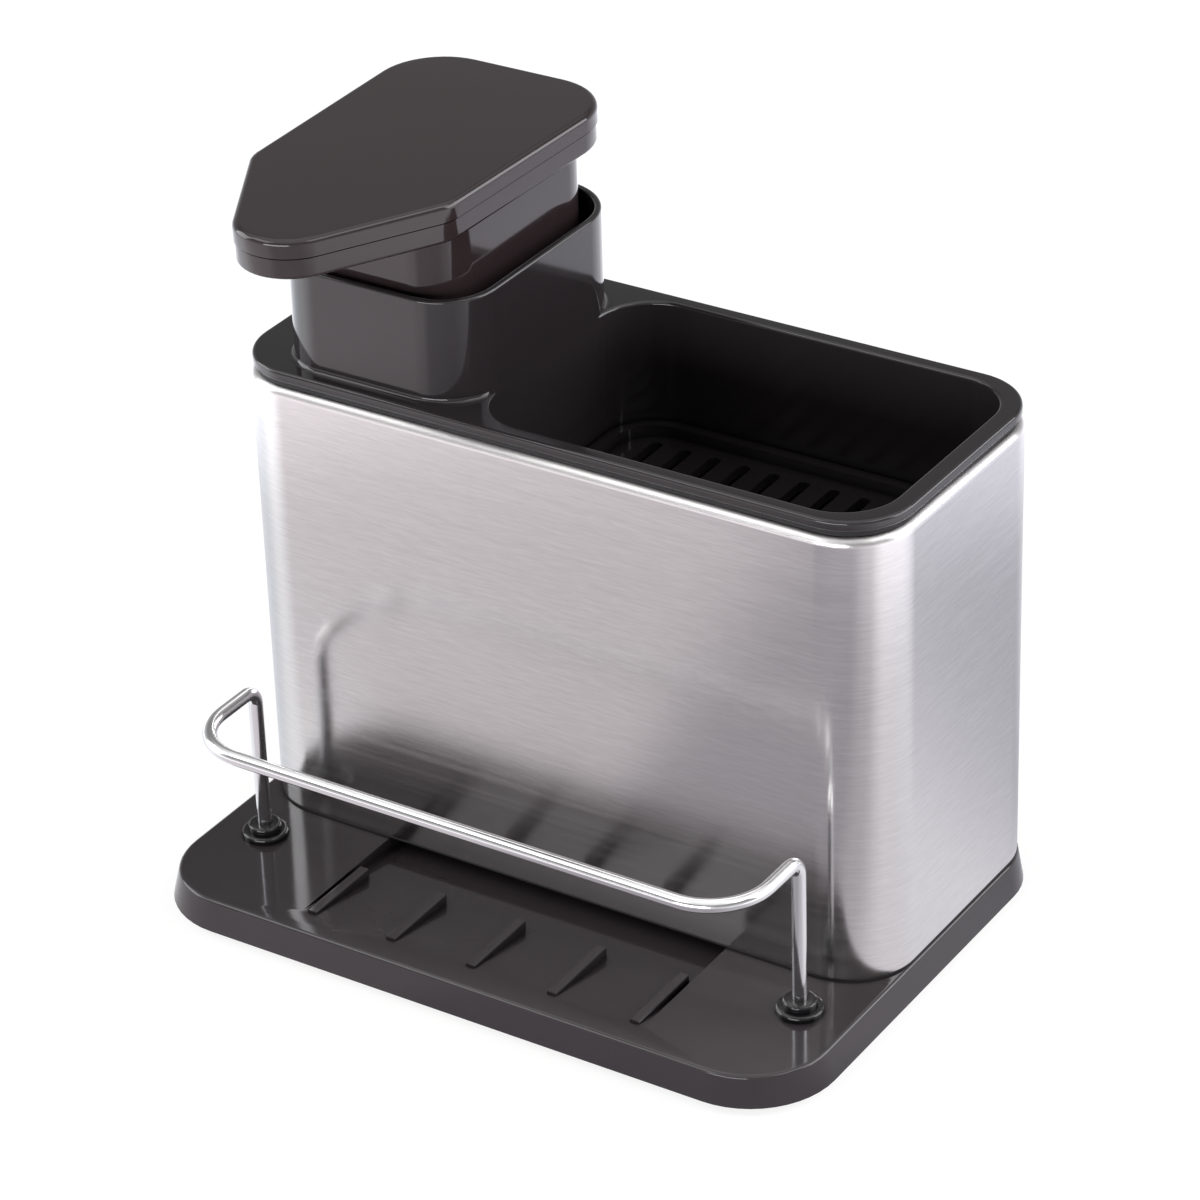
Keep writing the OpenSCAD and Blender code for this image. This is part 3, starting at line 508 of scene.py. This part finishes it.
def pale_floor():
    """White to the camera with the object's shadow on it; reflections show the cards round it."""
    mesh = bpy.data.meshes.new("floor")
    corners = [(x * FLOOR_HALF, y * FLOOR_HALF, 0) for x, y in ((-1, -1), (1, -1), (1, 1), (-1, 1))]
    mesh.from_pydata(corners, [], [(0, 1, 2, 3)])
    floor = placed("floor", mesh)
    mat, nodes, links, shader = new_material("floor")
    coords = nodes.new("ShaderNodeTexCoord")
    place = coords.outputs["Object"]
    mottle = noise(nodes, links, coords, FLOOR_MOTTLE)
    links.new(tint(nodes, links, mottle, FLOOR, FLOOR_SHADES), shader.inputs["Base Color"])
    shader.inputs["Roughness"].default_value = FLOOR_ROUGHNESS
    shader.inputs["Specular IOR Level"].default_value = 0.0
    white = nodes.new("ShaderNodeMixShader")
    white.inputs["Fac"].default_value = FLOOR_GLOW_SHARE
    links.new(shader.outputs["BSDF"], white.inputs[1])
    backdrop = glow(nodes, GLOW_COLOUR)
    level = span(nodes, links, distance_of(nodes, links, place), *GLOW_LEVELS, *GLOW_REACH)
    links.new(level, backdrop.inputs["Strength"])
    links.new(backdrop.outputs["Emission"], white.inputs[2])
    shown = glow(nodes, WHITE)
    colour, gain = cards(nodes, links, place)
    links.new(colour, shown.inputs["Color"])
    links.new(gain, shown.inputs["Strength"])
    seen = mixed(nodes, links, ray_kind(nodes, "Is Camera Ray"), shader.outputs["BSDF"],
                 white.outputs["Shader"])
    final = mixed(nodes, links, ray_kind(nodes, "Is Glossy Ray"), seen, shown.outputs["Emission"])
    links.new(final, nodes["Material Output"].inputs["Surface"])
    mesh.materials.append(mat)


def studio_world():
    """A plain soft sky; reflections show SKY_RISE and the camera sees white."""
    world = bpy.data.worlds.new("studio")
    bpy.context.scene.world = world
    world.use_nodes = True
    nodes, links = world.node_tree.nodes, world.node_tree.links
    sky = nodes["Background"]
    sky.inputs["Color"].default_value = (*SKY_COLOUR, 1)
    sky.inputs["Strength"].default_value = SKY_LEVEL
    coords = nodes.new("ShaderNodeTexCoord")
    height = height_of(nodes, links, coords.outputs["Generated"])
    above = nodes.new("ShaderNodeValToRGB")
    fill_ramp(above.color_ramp.elements, [(place, (level,) * 3) for place, level in SKY_RISE])
    links.new(height, above.inputs["Fac"])
    shown = nodes.new("ShaderNodeBackground")
    links.new(above.outputs["Color"], shown.inputs["Color"])
    white = nodes.new("ShaderNodeBackground")
    white.inputs["Color"].default_value = (*WHITE, 1)
    glossy = mixed(nodes, links, ray_kind(nodes, "Is Glossy Ray"), sky.outputs["Background"],
                   shown.outputs["Background"])
    final = mixed(nodes, links, ray_kind(nodes, "Is Camera Ray"), glossy,
                  white.outputs["Background"])
    links.new(final, nodes["World Output"].inputs["Surface"])


def toward(azimuth, elevation):
    """The direction at an azimuth from the front and an elevation, both in radians."""
    out = math.cos(elevation)
    return Vector((math.sin(azimuth) * out, -math.cos(azimuth) * out, math.sin(elevation)))


def softbox(name, azimuth, elevation, distance, size, level, colour=WHITE):
    """A soft lamp that gives a face turned to it this level; at 1 a colour shows as it is written."""
    data = bpy.data.lights.new(name, "AREA")
    data.shape = "RECTANGLE"
    data.size, data.size_y = size
    data.energy = level * math.pi * math.pi * distance * distance
    data.color = colour
    lamp = placed(name, data)
    aim = toward(math.radians(azimuth), math.radians(elevation))
    lamp.location = CENTRE + aim * distance
    lamp.rotation_euler = (-aim).to_track_quat("-Z", "Y").to_euler()
    lamp.visible_camera = False


def lights():
    for name, box in LAMPS.items():
        softbox(name, *box)


def camera():
    data = bpy.data.cameras.new("camera")
    data.lens = CAM_LENS
    data.sensor_width = SENSOR
    cam = placed("camera", data)
    back = toward(CAM_AZIMUTH, CAM_ELEVATION)
    right = Vector((math.cos(CAM_AZIMUTH), math.sin(CAM_AZIMUTH), 0))
    up = back.cross(right)
    level = right * math.cos(CAM_ROLL) + up * math.sin(CAM_ROLL)
    upright = up * math.cos(CAM_ROLL) - right * math.sin(CAM_ROLL)
    stand = Matrix.Translation(CAM_TARGET + back * CAM_DISTANCE)
    cam.matrix_world = stand @ Matrix((level, upright, back)).transposed().to_4x4()
    bpy.context.scene.camera = cam


dress_cad()
return_coil()
pale_floor()
studio_world()
lights()
camera()
bpy.context.scene.view_settings.view_transform = "Standard"
